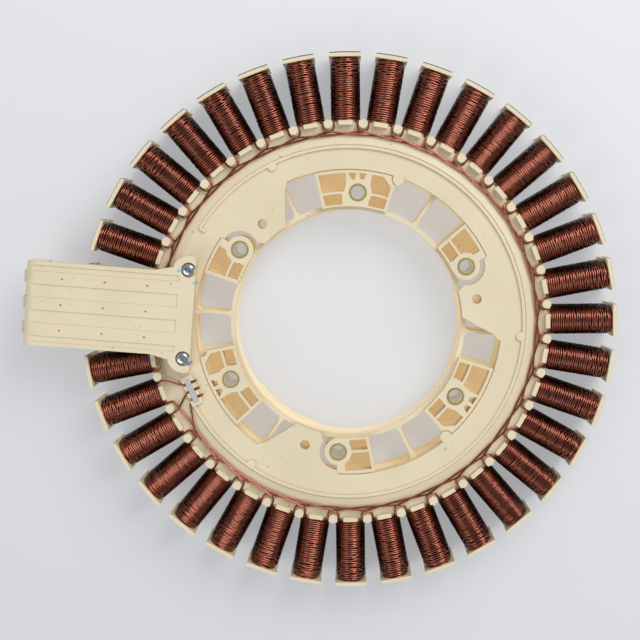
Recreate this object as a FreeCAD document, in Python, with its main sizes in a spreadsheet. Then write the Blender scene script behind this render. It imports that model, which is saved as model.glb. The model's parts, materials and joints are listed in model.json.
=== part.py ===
"""Wound stator of an outer-rotor washing-machine motor.

The frame has its origin on the stator's axis, in the plane that the six steel
sleeves are clamped against. +Z points out of that plane, away from the core,
and the connector arm points along -X. Lengths are in millimetres and angles
in degrees.
"""
import FreeCAD, Part
import math
import os
import Sketcher

SIZES = [
    # alias, value, what it is
    ("tooth_count", 36, "teeth round the core"),
    ("sleeve_count", 6, "mounting sleeves round the axis"),
    ("third_count", 3, "times the boss pattern repeats in a turn"),
    ("stack_height", 18, "height of the stacked laminations"),
    ("yoke_inner_radius", 86, "inside of the core's yoke"),
    ("yoke_outer_radius", 98, "bottom of the slots"),
    ("head_inner_radius", 132, "inside of the tooth heads"),
    ("head_outer_radius", 134, "air-gap face of the tooth heads"),
    ("tooth_width", 7, "steel tooth across its sides"),
    ("head_width", 15.4, "steel tooth head across its ends"),
    ("core_drop", 4, "top of the core below the mounting plane"),
    ("fit_gap", 0.1, "room between the core and its mouldings"),
    ("plate_drop", 0.5, "top of the plate and bosses below the mounting plane"),
    ("plate_inner_radius", 76.4, "inner edge of the plate"),
    ("plate_outer_radius", 88, "where the flat of the plate ends"),
    ("band_height", 0.5, "raised band above the plate"),
    ("lane_radius", 94.5, "where the wire lane starts"),
    ("lane_thickness", 2, "plastic over the core under the wires"),
    ("liner_wall", 1.1, "slot liner over the yoke"),
    ("side_liner", 1, "liner on each side of a tooth"),
    ("end_liner", 1.5, "liner over the ends of a tooth"),
    ("floor_thickness", 3, "lower insulator under the core"),
    ("wall_thickness", 2, "inner wall and core locating wall"),
    ("flange_thickness", 1.9, "coil flange at the tooth tips"),
    ("flange_width", 15.8, "coil flange across its ends"),
    ("flange_rise", 5.5, "coil flange above or below the core"),
    ("coil_build", 3, "thickness of the winding on the tooth"),
    ("coil_corner", 4.2, "outer corner radius of a coil"),
    ("tab_thickness", 2.2, "coil tab through its thickness"),
    ("tab_width", 7, "coil tab across the tooth"),
    ("peg_radius", 2.15, "round nose of a wire peg"),
    ("peg_depth", 3.6, "wire peg from its nose to its back"),
    ("peg_rise", 7, "wire peg above the core"),
    ("rib_inner_radius", 86.6, "inner side of the plate's rib"),
    ("rib_width", 1.4, "width of the plate's rib"),
    ("rib_height", 1.1, "plate's rib above the plate"),
    ("rib_end_angle", 28.5, "half the gap in the rib under the arm"),
    ("rib_hook", 4, "length of the rib's hooked ends"),
    ("bump_radius", 2.2, "half-round bumps on the rib"),
    ("mount_circle_radius", 65, "circle of the sleeves and locating holes"),
    ("barrel_radius", 6.8, "plastic barrel round a sleeve"),
    ("sleeve_bore_radius", 3.4, "bore of a mounting sleeve"),
    ("sleeve_outer_radius", 4.4, "outside of a mounting sleeve"),
    ("sleeve_chamfer", 0.3, "edge break of a mounting sleeve"),
    ("locating_hole_radius", 2.4, "locating hole in a lobe"),
    ("ring_inner_radius", 56.5, "inner ring of the lower insulator"),
    ("ring_thickness", 2.3, "wall of the inner ring"),
    ("ring_drop", 6, "top of the inner ring below the mounting plane"),
    ("lip_width", 1, "inward lip under the inner ring"),
    ("lip_height", 2, "height of the inward lip"),
    ("lip_sweep", 38, "angle that each piece of the lip covers"),
    ("spoke_thickness", 1.5, "spoke between the inner ring and the wall"),
    ("boss_gap", 0.5, "joint between the plate's edge and the bosses"),
    ("pocket_wall", 1.5, "walls between the boss pockets"),
    ("pocket_depth", 18, "boss pockets below the boss tops"),
    ("barrel_clearance", 9.2, "radius cut in a lobe round a barrel"),
    ("tongue_radius", 2.9, "round tongue on the plate's inner edge"),
    ("arm_half_width", 20.8, "half the width of the connector arm"),
    ("arm_reach", 155, "outer end of the arm from the axis"),
    ("arm_under", 3, "underside of the arm above the mounting plane"),
    ("arm_top", 10.5, "top of the arm above the mounting plane"),
    ("arm_foot", 8, "depth of the arm's foot on the plate"),
    ("arm_end_radius", 5, "rounded outer edge of the arm"),
    ("lead_pitch", 12.7, "spacing of the arm's channels and terminals"),
    ("channel_width", 10.7, "lead channel under the arm"),
    ("arm_skin", 2.5, "plastic over the lead channels"),
    ("panel_width", 6.3, "raised panel on the arm's top"),
    ("panel_step", 0.4, "step beside a raised panel"),
    ("arm_rim", 2, "rim along each side of the arm's top"),
    ("vent_radius", 0.5, "small hole in the arm's top"),
    ("vent_pitch", 21, "spacing of the small holes along the arm"),
    ("ear_radius", 7, "screw ear of the arm"),
    ("ear_fillet", 7, "hollow curve between the arm and an ear"),
    ("screw_reach", 79.8, "arm screws from the axis, along the arm"),
    ("screw_offset", 21.9, "arm screws from the arm's middle"),
    ("screw_shank_radius", 1.6, "shank of an arm screw"),
    ("screw_head_radius", 3.1, "head of an arm screw"),
    ("screw_head_height", 2.2, "height of an arm screw's head"),
    ("screw_length", 20, "shank of an arm screw under its head"),
    ("counterbore_radius", 3.7, "recess for a screw head"),
    ("counterbore_depth", 2.6, "depth of that recess"),
    ("screw_boss_radius", 3.3, "boss under the plate for an arm screw"),
    ("shroud_depth", 8, "depth of the connector shroud"),
    ("shroud_drop", 9, "shroud below the mounting plane"),
    ("socket_width", 9.5, "connector socket across"),
    ("socket_height", 6, "connector socket upright"),
    ("socket_floor", 2, "wall under the sockets"),
    ("latch_width", 6, "locking tongue across"),
    ("latch_length", 7, "locking tongue past the shroud"),
    ("latch_thickness", 2, "thickness of a locking tongue"),
    ("blade_width", 6.3, "terminal blade across"),
    ("blade_thickness", 0.8, "terminal blade through its thickness"),
    ("wire_radius", 0.5, "enamelled wire"),
    ("wire_clearance", 0.05, "gap between a wire and what it passes"),
    ("link_rise", 2.3, "how far a link climbs from its start to its end"),
    ("link_sag", 2.7, "how far inside the pegs a link hangs"),
    ("splice_angle", 207.7, "where the neutral splice sits"),
    ("splice_radius", 85, "neutral splice from the axis"),
    ("splice_length", 12, "neutral splice along its bar"),
    ("splice_width", 2.7, "neutral splice across"),
    ("splice_height", 2.4, "neutral splice through its thickness"),
    ("splice_pitch", 3.9, "spacing of the wires in the splice"),
    ("saddle_wall", 1.6, "posts that hold the splice"),
    ("saddle_height", 2.2, "height of those posts above the plate"),
]

os.makedirs("parts", exist_ok=True)
doc = FreeCAD.newDocument("wound_stator")


class Size:
    """A number together with the sheet expression that gives it."""

    def __init__(self, value, text):
        self.value = value
        self.text = text

    def join(self, other, sign, value):
        return Size(value, f"({self.text} {sign} {as_size(other).text})")

    def __add__(self, other):
        return self.join(other, "+", self.value + as_size(other).value)

    def __sub__(self, other):
        return self.join(other, "-", self.value - as_size(other).value)

    def __mul__(self, other):
        return self.join(other, "*", self.value * as_size(other).value)

    def __truediv__(self, other):
        return self.join(other, "/", self.value / as_size(other).value)

    def __neg__(self):
        return self * -1


def as_size(number):
    return number if isinstance(number, Size) else Size(float(number), repr(float(number)))


def cosine(angle):
    return Size(math.cos(math.radians(angle.value)), f"cos({angle.text})")


def sine(angle):
    return Size(math.sin(math.radians(angle.value)), f"sin({angle.text})")


def fill_sheet():
    """Puts every driving size in the spreadsheet and returns them by alias."""
    sheet = doc.addObject("Spreadsheet::Sheet", "Sizes")
    found = {}
    for row, (alias, value, meaning) in enumerate(SIZES, start=1):
        sheet.set(f"A{row}", alias)
        sheet.set(f"B{row}", str(value))
        sheet.setAlias(f"B{row}", alias)
        sheet.set(f"C{row}", meaning)
    doc.recompute()
    for alias, value, meaning in SIZES:
        found[alias] = Size(float(sheet.get(alias)), f"Sizes.{alias}")
    return found


class Named:
    """Lets a size be written as a.stack_height."""

    def __init__(self, found):
        self.__dict__.update(found)


a = Named(fill_sheet())

# Heights and radii that follow from the driving sizes.
core_top = -a.core_drop
core_bottom = core_top - a.stack_height
core_middle = core_top - a.stack_height / 2
plate_top = -a.plate_drop
band_top = plate_top + a.band_height
lane_top = core_top + a.lane_thickness
floor_bottom = core_bottom - a.floor_thickness
flange_top = core_top + a.flange_rise
flange_bottom = core_bottom - a.flange_rise
peg_top = core_top + a.peg_rise
liner_radius = a.yoke_outer_radius + a.liner_wall
coil_inner_radius = liner_radius + 1
coil_outer_radius = a.head_inner_radius - 0.9
flange_outer_radius = coil_outer_radius + a.flange_thickness
lined_tooth = a.tooth_width + a.side_liner * 2
coil_width = lined_tooth + a.coil_build * 2
lined_height = a.stack_height + a.end_liner * 2
coil_height = lined_height + a.coil_build * 2
tooth_pitch = as_size(360) / a.tooth_count
half_pitch = tooth_pitch / 2
ring_outer_radius = a.ring_inner_radius + a.ring_thickness
block_outer_radius = a.plate_inner_radius - a.boss_gap
wall_outer_radius = a.plate_inner_radius + a.wall_thickness
merge_radius = a.plate_inner_radius + a.boss_gap
core_seat_radius = a.yoke_inner_radius - a.fit_gap
peg_back_radius = coil_inner_radius
peg_nose_radius = peg_back_radius - a.peg_depth

ZERO = as_size(0)
ORIGIN = FreeCAD.Vector(0, 0, 0)
UP = FreeCAD.Vector(0, 0, 1)


# ---------------------------------------------------------------- helpers

def new_body(label):
    body = doc.addObject("PartDesign::Body", label)
    body.Label = label
    return body


def origin_part(body, role):
    return next(part for part in body.Origin.OriginFeatures if part.Role == role)


def bind(thing, path, size):
    thing.setExpression(path, as_size(size).text)


def flat_sketch(body, height, turn=ZERO):
    """A sketch across the axis, at a height and turned about the axis."""
    sketch = body.newObject("Sketcher::SketchObject", "outline")
    sketch.AttachmentSupport = [(origin_part(body, "XY_Plane"), "")]
    sketch.MapMode = "FlatFace"
    sketch.AttachmentOffset = FreeCAD.Placement(ORIGIN, FreeCAD.Rotation(UP, 1))
    bind(sketch, "AttachmentOffset.Base.z", height)
    bind(sketch, "AttachmentOffset.Rotation.Angle", turn)
    return sketch


def upright_sketch(body, turn=ZERO):
    """A sketch that holds the axis: its x is a radius and its y a height."""
    sketch = body.newObject("Sketcher::SketchObject", "section")
    sketch.AttachmentSupport = [(origin_part(body, "XZ_Plane"), "")]
    sketch.MapMode = "FlatFace"
    sketch.AttachmentOffset = FreeCAD.Placement(ORIGIN, FreeCAD.Rotation(FreeCAD.Vector(0, 1, 0), 1))
    bind(sketch, "AttachmentOffset.Rotation.Angle", turn)
    return sketch


def add_bound(sketch, rules):
    """Adds constraints; a rule's last item may be a size, which is then bound."""
    for rule in rules:
        if isinstance(rule[-1], Size):
            index = sketch.addConstraint(Sketcher.Constraint(*rule[:-1], rule[-1].value))
            sketch.setExpression(f"Constraints[{index}]", rule[-1].text)
        else:
            sketch.addConstraint(Sketcher.Constraint(*rule))


def outline(sketch, corners, arcs=None):
    """Draws a closed outline; arcs gives the radius of edges that are round about the origin."""
    arcs = arcs or {}
    count = len(corners)
    first = sketch.GeometryCount
    spots = []
    for i, (x, y) in enumerate(corners):
        radius = arcs.get(i) or arcs.get((i - 1) % count)
        across = math.sqrt(radius.value ** 2 - y.value ** 2) if radius else x.value
        spots.append(FreeCAD.Vector(across, y.value, 0))
    begins, ends = [], []
    for i in range(count):
        start, stop = spots[i], spots[(i + 1) % count]
        if i in arcs:
            angles = [math.atan2(spot.y, spot.x) for spot in (start, stop)]
            circle = Part.Circle(ORIGIN, UP, arcs[i].value)
            sketch.addGeometry(Part.ArcOfCircle(circle, min(angles), max(angles)))
            forward = angles[0] < angles[1]
            begins.append(1 if forward else 2)
            ends.append(2 if forward else 1)
        else:
            sketch.addGeometry(Part.LineSegment(start, stop))
            begins.append(1)
            ends.append(2)
    rules = []
    for i, (x, y) in enumerate(corners):
        before = (i - 1) % count
        rules.append(("Coincident", first + before, ends[before], first + i, begins[i]))
        if i in arcs:
            rules.append(("Coincident", first + i, 3, -1, 1))
            rules.append(("Radius", first + i, arcs[i]))
        if i not in arcs and before not in arcs:
            rules.append(("DistanceX", -1, 1, first + i, begins[i], x))
        rules.append(("DistanceY", -1, 1, first + i, begins[i], y))
    add_bound(sketch, rules)
    return sketch


def circle(sketch, x, y, radius):
    index = sketch.addGeometry(Part.Circle(FreeCAD.Vector(x.value, y.value, 0), UP, radius.value))
    add_bound(sketch, [("DistanceX", -1, 1, index, 3, x), ("DistanceY", -1, 1, index, 3, y),
                       ("Radius", index, radius)])
    return sketch


def at(radius, angle):
    """The corner at a radius and an angle."""
    angle = as_size(angle)
    return radius * cosine(angle), radius * sine(angle)


def box_corners(x_low, x_high, half_width):
    return [(x_low, -half_width), (x_high, -half_width), (x_high, half_width), (x_low, half_width)]


def sector(sketch, inner, outer, start, stop):
    """A piece of a ring between two angles."""
    corners = [at(inner, start), at(outer, start), at(outer, stop), at(inner, stop)]
    return outline(sketch, corners, {1: outer, 3: inner})


def pad(body, sketch, length, name):
    feature = body.newObject("PartDesign::Pad", name)
    feature.Profile = sketch
    bind(feature, "Length", length)
    return feature


def pocket(body, sketch, depth, name):
    """Cuts downwards from the sketch."""
    feature = body.newObject("PartDesign::Pocket", name)
    feature.Profile = sketch
    bind(feature, "Length", depth)
    return feature


def turned(body, kind, sketch, sweep, name):
    """A Revolution or Groove about the axis; it starts at the sketch's plane."""
    feature = body.newObject(f"PartDesign::{kind}", name)
    feature.Profile = sketch
    feature.ReferenceAxis = (sketch, ["V_Axis"])
    bind(feature, "Angle", sweep)
    return feature


def around(body, originals, count, name):
    """Repeats features evenly round the axis."""
    feature = body.newObject("PartDesign::PolarPattern", name)
    feature.Originals = originals
    feature.Axis = (origin_part(body, "Z_Axis"), [""])
    feature.Angle = 360
    bind(feature, "Occurrences", count)
    body.Tip = feature
    return feature


def turn_body(body, angle):
    body.Placement = FreeCAD.Placement(ORIGIN, FreeCAD.Rotation(UP, 1))
    bind(body, "Placement.Rotation.Angle", angle)


# ------------------------------------------------------------------- core

def make_core():
    """The stack of laminations: a yoke ring with T-headed teeth."""
    body = new_body("lamination_core")
    ring = flat_sketch(body, core_bottom)
    circle(ring, ZERO, ZERO, a.yoke_outer_radius)
    circle(ring, ZERO, ZERO, a.yoke_inner_radius)
    pad(body, ring, a.stack_height, "yoke")
    half_tooth = a.tooth_width / 2
    half_head = a.head_width / 2
    root = a.yoke_outer_radius - 1
    tooth = flat_sketch(body, core_bottom, half_pitch)
    outline(tooth, [(root, -half_tooth), (a.head_inner_radius - 0.8, -half_tooth),
                    (a.head_inner_radius, -half_head), (a.head_outer_radius, -half_head),
                    (a.head_outer_radius, half_head), (a.head_inner_radius, half_head),
                    (a.head_inner_radius - 0.8, half_tooth), (root, half_tooth)],
            {3: a.head_outer_radius})
    tooth_pad = pad(body, tooth, a.stack_height, "tooth")
    around(body, [tooth_pad], a.tooth_count, "teeth")
    return body


# ------------------------------------------------------ parts of a moulding

def tooth_cover(body, low, high, flange_low, flange_high):
    """Half of the plastic on one tooth: the liner block and the tip flange."""
    half_block = lined_tooth / 2
    half_flange = a.flange_width / 2
    block = flat_sketch(body, low, half_pitch)
    outline(block, box_corners(liner_radius - 0.6, coil_outer_radius + 0.5, half_block))
    block_pad = pad(body, block, high - low, "tooth_liner")
    flange = flat_sketch(body, flange_low, half_pitch)
    outline(flange, box_corners(coil_outer_radius, flange_outer_radius, half_flange),
            {1: flange_outer_radius})
    flange_pad = pad(body, flange, flange_high - flange_low, "tip_flange")
    return [block_pad, flange_pad]


def tooth_room(body, top, depth):
    """The space for one steel tooth and its head."""
    half_room = a.tooth_width / 2
    half_head = a.flange_width / 2 + 0.1
    slot = flat_sketch(body, top, half_pitch)
    outline(slot, box_corners(a.yoke_outer_radius - 2, a.head_inner_radius + 0.1, half_room))
    slot_cut = pocket(body, slot, depth, "tooth_room")
    head = flat_sketch(body, top, half_pitch)
    outline(head, box_corners(a.head_inner_radius - 0.05, a.head_outer_radius + 1, half_head))
    head_cut = pocket(body, head, depth, "head_room")
    return [slot_cut, head_cut]


# -------------------------------------------------------- upper insulator

def make_upper_insulator():
    """The moulding on the mounting side: plate, lobes, wire lane, tabs and pegs."""
    body = new_body("upper_insulator")
    section = upright_sketch(body)
    outline(section, [
        (a.plate_inner_radius, core_top), (core_seat_radius - a.wall_thickness, core_top),
        (core_seat_radius - a.wall_thickness, core_middle), (core_seat_radius, core_middle),
        (core_seat_radius, core_top), (a.yoke_outer_radius + a.fit_gap, core_top),
        (a.yoke_outer_radius + a.fit_gap, core_middle), (liner_radius, core_middle),
        (liner_radius, lane_top), (a.lane_radius, lane_top),
        (a.plate_outer_radius + 0.6, band_top), (a.plate_outer_radius, plate_top),
        (a.plate_inner_radius, plate_top)])
    turned(body, "Revolution", section, as_size(360), "plate")

    plate_height = plate_top - core_top
    lobe = flat_sketch(body, core_top, as_size(15))
    outline(lobe, [at(a.ring_inner_radius + 0.5, -7.8), at(a.ring_inner_radius + 16.3, -15.2),
                   at(a.plate_inner_radius - 0.9, -17.2), at(a.plate_inner_radius + 1, -17.4),
                   at(a.plate_inner_radius + 1, 15.4), at(a.plate_inner_radius - 1.1, 15.3),
                   at(a.ring_inner_radius + 8, 10), at(a.ring_inner_radius + 0.5, 5.3)],
            {3: a.plate_inner_radius + 1, 7: a.ring_inner_radius + 0.5})
    lobe_pad = pad(body, lobe, plate_height, "lobe")
    around(body, [lobe_pad], a.third_count, "lobes")
    barrel_room = flat_sketch(body, plate_top, as_size(30))
    circle(barrel_room, a.mount_circle_radius, ZERO, a.barrel_clearance)
    barrel_cut = pocket(body, barrel_room, plate_height, "barrel_room")
    hole = flat_sketch(body, plate_top, as_size(15))
    circle(hole, a.mount_circle_radius, ZERO, a.locating_hole_radius)
    hole_cut = pocket(body, hole, plate_height, "locating_hole")
    around(body, [barrel_cut, hole_cut], a.third_count, "lobe_cuts")

    for angle in (75, 315):
        tongue = flat_sketch(body, core_top, as_size(angle))
        circle(tongue, a.plate_inner_radius - 1.1, ZERO, a.tongue_radius)
        pad(body, tongue, plate_height, "tongue")

    rib_section = upright_sketch(body, as_size(-180) + a.rib_end_angle)
    outline(rib_section, box_shape(a.rib_inner_radius, a.rib_inner_radius + a.rib_width,
                                   plate_top - 0.5, plate_top + a.rib_height))
    turned(body, "Revolution", rib_section, as_size(360) - a.rib_end_angle * 2, "rib")
    for side in (-1, 1):
        hook = flat_sketch(body, plate_top - 0.5, (as_size(180) - a.rib_end_angle) * side)
        outline(hook, box_corners(a.rib_inner_radius - a.rib_hook + a.rib_width,
                                  a.rib_inner_radius + a.rib_width / 2, a.rib_width / 2))
        pad(body, hook, a.rib_height + 0.5, "rib_hook")
    bump = flat_sketch(body, plate_top - 0.5)
    circle(bump, a.rib_inner_radius - 0.6, ZERO, a.bump_radius)
    bump_pad = pad(body, bump, a.rib_height + 0.5, "rib_bump")
    around(body, [bump_pad], a.third_count, "rib_bumps")

    for side in (-1, 1):
        boss = flat_sketch(body, core_middle)
        circle(boss, -a.screw_reach, a.screw_offset * side, a.screw_boss_radius)
        pad(body, boss, core_top - core_middle + 0.5, "screw_boss")
        pilot = flat_sketch(body, plate_top)
        circle(pilot, -a.screw_reach, a.screw_offset * side, a.screw_shank_radius)
        pocket(body, pilot, plate_top - core_middle + 1, "screw_pilot")

    saddle = flat_sketch(body, plate_top - 0.5, a.splice_angle)
    inner = a.splice_radius - a.splice_width / 2 - a.saddle_wall
    outer = a.splice_radius + a.splice_width / 2 + a.saddle_wall
    outline(saddle, box_corners(inner, outer, a.splice_length / 2 + a.saddle_wall))
    pad(body, saddle, a.saddle_height + 0.5, "splice_saddle")
    seat = flat_sketch(body, plate_top + a.saddle_height, a.splice_angle)
    outline(seat, box_corners(a.splice_radius - a.splice_width / 2, a.splice_radius + a.splice_width / 2,
                              a.splice_length / 2))
    pocket(body, seat, a.saddle_height, "splice_seat")
    for step in (-1, 0, 1):
        notch = flat_sketch(body, plate_top + a.saddle_height, a.splice_angle)
        middle = a.splice_pitch * step
        reach = a.wire_radius + a.wire_clearance * 6
        outline(notch, [(inner - 1, middle - reach), (outer + 1, middle - reach),
                        (outer + 1, middle + reach), (inner - 1, middle + reach)])
        pocket(body, notch, a.saddle_height - 0.2, "wire_notch")

    block_top = core_top + a.end_liner
    parts = tooth_cover(body, core_middle, block_top, core_middle, flange_top)
    tab = flat_sketch(body, lane_top - 0.5, half_pitch)
    outline(tab, box_corners(coil_inner_radius - a.tab_thickness, coil_inner_radius, a.tab_width / 2))
    tab_pad = pad(body, tab, flange_top - lane_top + 0.5, "coil_tab")
    peg_base = flat_sketch(body, lane_top - 0.5)
    nose_centre = peg_nose_radius + a.peg_radius
    outline(peg_base, box_corners(nose_centre, peg_back_radius, a.peg_radius))
    peg_pad = pad(body, peg_base, peg_top - lane_top + 0.5, "peg_back")
    peg_nose = flat_sketch(body, lane_top - 0.5)
    circle(peg_nose, nose_centre, ZERO, a.peg_radius)
    nose_pad = pad(body, peg_nose, peg_top - lane_top + 0.5, "peg_nose")
    around(body, parts + [tab_pad, peg_pad, nose_pad], a.tooth_count, "tooth_covers")
    around(body, tooth_room(body, core_top, a.stack_height / 2), a.tooth_count, "tooth_rooms")
    return body


def box_shape(x_low, x_high, y_low, y_high):
    return [(x_low, y_low), (x_high, y_low), (x_high, y_high), (x_low, y_high)]


# -------------------------------------------------------- lower insulator

def boss_pockets(body, turn, pockets):
    """Blind pockets in a boss block, each given by its corners as radius and angle."""
    cuts = []
    for corners, arcs in pockets:
        sketch = flat_sketch(body, plate_top, turn)
        outline(sketch, [at(radius, angle) for radius, angle in corners], arcs)
        cuts.append(pocket(body, sketch, a.pocket_depth, "boss_pocket"))
    return cuts


def make_lower_insulator():
    """The moulding that carries the bosses, the spokes and the inner ring."""
    body = new_body("lower_insulator")
    section = upright_sketch(body)
    outline(section, [
        (a.plate_inner_radius, floor_bottom), (liner_radius, floor_bottom),
        (liner_radius, core_middle), (a.yoke_outer_radius + a.fit_gap, core_middle),
        (a.yoke_outer_radius + a.fit_gap, core_bottom), (core_seat_radius, core_bottom),
        (core_seat_radius, core_middle), (core_seat_radius - a.wall_thickness, core_middle),
        (core_seat_radius - a.wall_thickness, core_bottom), (wall_outer_radius, core_bottom),
        (wall_outer_radius, core_top), (a.plate_inner_radius, core_top)])
    turned(body, "Revolution", section, as_size(360), "floor")
    ring = flat_sketch(body, floor_bottom)
    circle(ring, ZERO, ZERO, ring_outer_radius)
    circle(ring, ZERO, ZERO, a.ring_inner_radius)
    pad(body, ring, -a.ring_drop - floor_bottom, "inner_ring")
    lip_section = upright_sketch(body, -a.lip_sweep / 2)
    outline(lip_section, box_shape(a.ring_inner_radius - a.lip_width, a.ring_inner_radius + 0.5,
                                   floor_bottom, floor_bottom + a.lip_height))
    lip = turned(body, "Revolution", lip_section, a.lip_sweep, "ring_lip")
    around(body, [lip], a.third_count, "ring_lips")

    spoke = flat_sketch(body, floor_bottom)
    half_spoke = a.spoke_thickness / 2
    ring_root = ring_outer_radius - 0.8
    outline(spoke, [(ring_root, -half_spoke * 3), (ring_outer_radius + 2, -half_spoke),
                    (a.plate_inner_radius - 2, -half_spoke), (merge_radius, -half_spoke * 3),
                    (merge_radius, half_spoke * 3), (a.plate_inner_radius - 2, half_spoke),
                    (ring_outer_radius + 2, half_spoke), (ring_root, half_spoke * 3)])
    spoke_pad = pad(body, spoke, -a.ring_drop - floor_bottom, "spoke")
    around(body, [spoke_pad], a.sleeve_count, "spokes")

    block_base = core_top - floor_bottom
    block_height = plate_top - floor_bottom
    blocks = []
    for turn, start, stop in ((90, -14.6, 16.9), (30, 0, 14.8)):
        base = flat_sketch(body, floor_bottom, as_size(turn))
        sector(base, ring_outer_radius - 0.8, merge_radius, start, stop)
        blocks.append(pad(body, base, block_base, "block_base"))
        top = flat_sketch(body, floor_bottom, as_size(turn))
        sector(top, ring_outer_radius - 0.8, block_outer_radius, start, stop)
        blocks.append(pad(body, top, block_height, "block_top"))
    around(body, blocks, a.third_count, "boss_blocks")

    wall = a.pocket_wall
    low, high = ring_outer_radius + 0.2, block_outer_radius - wall
    split = ring_outer_radius + 5.4
    past = split + wall * 0.8
    corner_pockets = boss_pockets(body, as_size(90), [
        ([(past, -13.3), (past, -4.9), (high, -4.9), (high, -9.5), (past + 5, -13.1)],
         {0: past, 2: high}),
        ([(past, 5.2), (past, 15.6), (high, 15.7), (high, 5.2)], {0: past, 2: high}),
        ([(low, -13), (low, -5.3), (split, -5.3), (split, -13.2)], {0: low, 2: split}),
        ([(low, 7), (low, 15.2), (split, 15.4), (split, 7)], {0: low, 2: split}),
        ([(past + 5.5, -1.6), (past + 5.5, -0.4), (high, 0), (high, -2.9)], {0: past + 5.5, 2: high}),
        ([(past + 5.5, 1.6), (past + 5.5, 2.6), (high, 4.4), (high, 1.2)], {0: past + 5.5, 2: high})])
    side_pockets = boss_pockets(body, as_size(30), [
        ([(past, 3.2), (past, 13.4), (high, 13.6), (high, 3.2)], {0: past, 2: high}),
        ([(low, 5.2), (low, 13), (split, 13.2), (split, 5.2)], {0: low, 2: split})])
    notch = flat_sketch(body, plate_top, as_size(75))
    circle(notch, a.plate_inner_radius - 1.1, ZERO, a.tongue_radius + a.boss_gap)
    notch_cut = pocket(body, notch, plate_top - core_top, "tongue_notch")
    around(body, corner_pockets + side_pockets + [notch_cut], a.third_count, "pockets")

    barrel = flat_sketch(body, floor_bottom, as_size(30))
    circle(barrel, a.mount_circle_radius, ZERO, a.barrel_radius)
    barrel_pad = pad(body, barrel, block_height, "barrel")
    around(body, [barrel_pad], a.sleeve_count, "barrels")
    lobe_post = flat_sketch(body, floor_bottom, as_size(15))
    sector(lobe_post, ring_outer_radius - 0.8, merge_radius, -4.6, 4.6)
    post_pad = pad(body, lobe_post, core_top - floor_bottom, "lobe_post")
    around(body, [post_pad], a.third_count, "lobe_posts")
    bore = flat_sketch(body, plate_top, as_size(30))
    circle(bore, a.mount_circle_radius, ZERO, a.sleeve_outer_radius)
    bore_cut = pocket(body, bore, block_height, "sleeve_seat")
    around(body, [bore_cut], a.sleeve_count, "sleeve_seats")
    hole = flat_sketch(body, core_top, as_size(15))
    circle(hole, a.mount_circle_radius, ZERO, a.locating_hole_radius)
    hole_cut = pocket(body, hole, core_top - floor_bottom, "locating_hole")
    around(body, [hole_cut], a.third_count, "locating_holes")

    block_bottom = core_bottom - a.end_liner
    parts = tooth_cover(body, block_bottom, core_middle, flange_bottom, core_middle)
    around(body, parts, a.tooth_count, "tooth_covers")
    around(body, tooth_room(body, core_middle, a.stack_height / 2), a.tooth_count, "tooth_rooms")
    return body


# ---------------------------------------------------------------- sleeves

def make_sleeve(number):
    """A steel sleeve pressed into a boss, standing proud of it on the mounting side."""
    body = new_body(f"mounting_sleeve_{number + 1}")
    section = upright_sketch(body)
    edge = a.sleeve_chamfer
    outline(section, [
        (a.sleeve_bore_radius, floor_bottom), (a.sleeve_outer_radius - edge, floor_bottom),
        (a.sleeve_outer_radius, floor_bottom + edge), (a.sleeve_outer_radius, -edge),
        (a.sleeve_outer_radius - edge, ZERO), (a.sleeve_bore_radius, ZERO)])
    turned(body, "Revolution", section, as_size(360), "sleeve")
    angle = as_size(30) + as_size(360) / a.sleeve_count * number
    x, y = at(a.mount_circle_radius, angle)
    bind(body, "Placement.Base.x", x)
    bind(body, "Placement.Base.y", y)
    return body


# ------------------------------------------------------------------ coils

def make_coil(number):
    """The turns on one tooth, as a ring that grips the lined tooth."""
    body = new_body(f"coil_{number + 1:02d}")
    sketch = body.newObject("Sketcher::SketchObject", "section")
    sketch.AttachmentSupport = [(origin_part(body, "YZ_Plane"), "")]
    sketch.MapMode = "FlatFace"
    bind(sketch, "AttachmentOffset.Base.y", core_middle)
    bind(sketch, "AttachmentOffset.Base.z", coil_inner_radius)
    rounded_box(sketch, coil_width, coil_height, a.coil_corner)
    half_width, half_height = lined_tooth / 2, lined_height / 2
    outline(sketch, box_shape(-half_width, half_width, -half_height, half_height))
    pad(body, sketch, coil_outer_radius - coil_inner_radius, "turns")
    turn_body(body, half_pitch + tooth_pitch * number)
    return body


def rounded_box(sketch, width, height, radius):
    """A rectangle with round corners, centred on the sketch's origin."""
    x, y, r = width.value / 2, height.value / 2, radius.value
    lines = [((-x + r, -y), (x - r, -y)), ((x, -y + r), (x, y - r)),
             ((x - r, y), (-x + r, y)), ((-x, y - r), (-x, -y + r))]
    centres = [(x - r, -y + r, 270), (x - r, y - r, 0), (-x + r, y - r, 90), (-x + r, -y + r, 180)]
    for start, stop in lines:
        sketch.addGeometry(Part.LineSegment(FreeCAD.Vector(*start, 0), FreeCAD.Vector(*stop, 0)))
    for cx, cy, begin in centres:
        corner = Part.Circle(FreeCAD.Vector(cx, cy, 0), UP, r)
        sketch.addGeometry(Part.ArcOfCircle(corner, math.radians(begin), math.radians(begin + 90)))
    rules = []
    for i in range(4):
        rules.append(("Tangent", i, 2, 4 + i, 1))
        rules.append(("Tangent", 4 + i, 2, (i + 1) % 4, 1))
        rules.append(("Horizontal" if i % 2 == 0 else "Vertical", i))
    rules += [("Equal", 4, 5), ("Equal", 4, 6), ("Equal", 4, 7), ("Radius", 4, radius),
              ("DistanceX", -1, 1, 1, 1, width / 2), ("DistanceX", 3, 1, -1, 1, width / 2),
              ("DistanceY", -1, 1, 2, 1, height / 2), ("DistanceY", 0, 1, -1, 1, height / 2)]
    add_bound(sketch, rules)


# -------------------------------------------------------------------- arm

def arm_channels():
    return [a.lead_pitch * step for step in (-1, 0, 1)]


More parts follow.
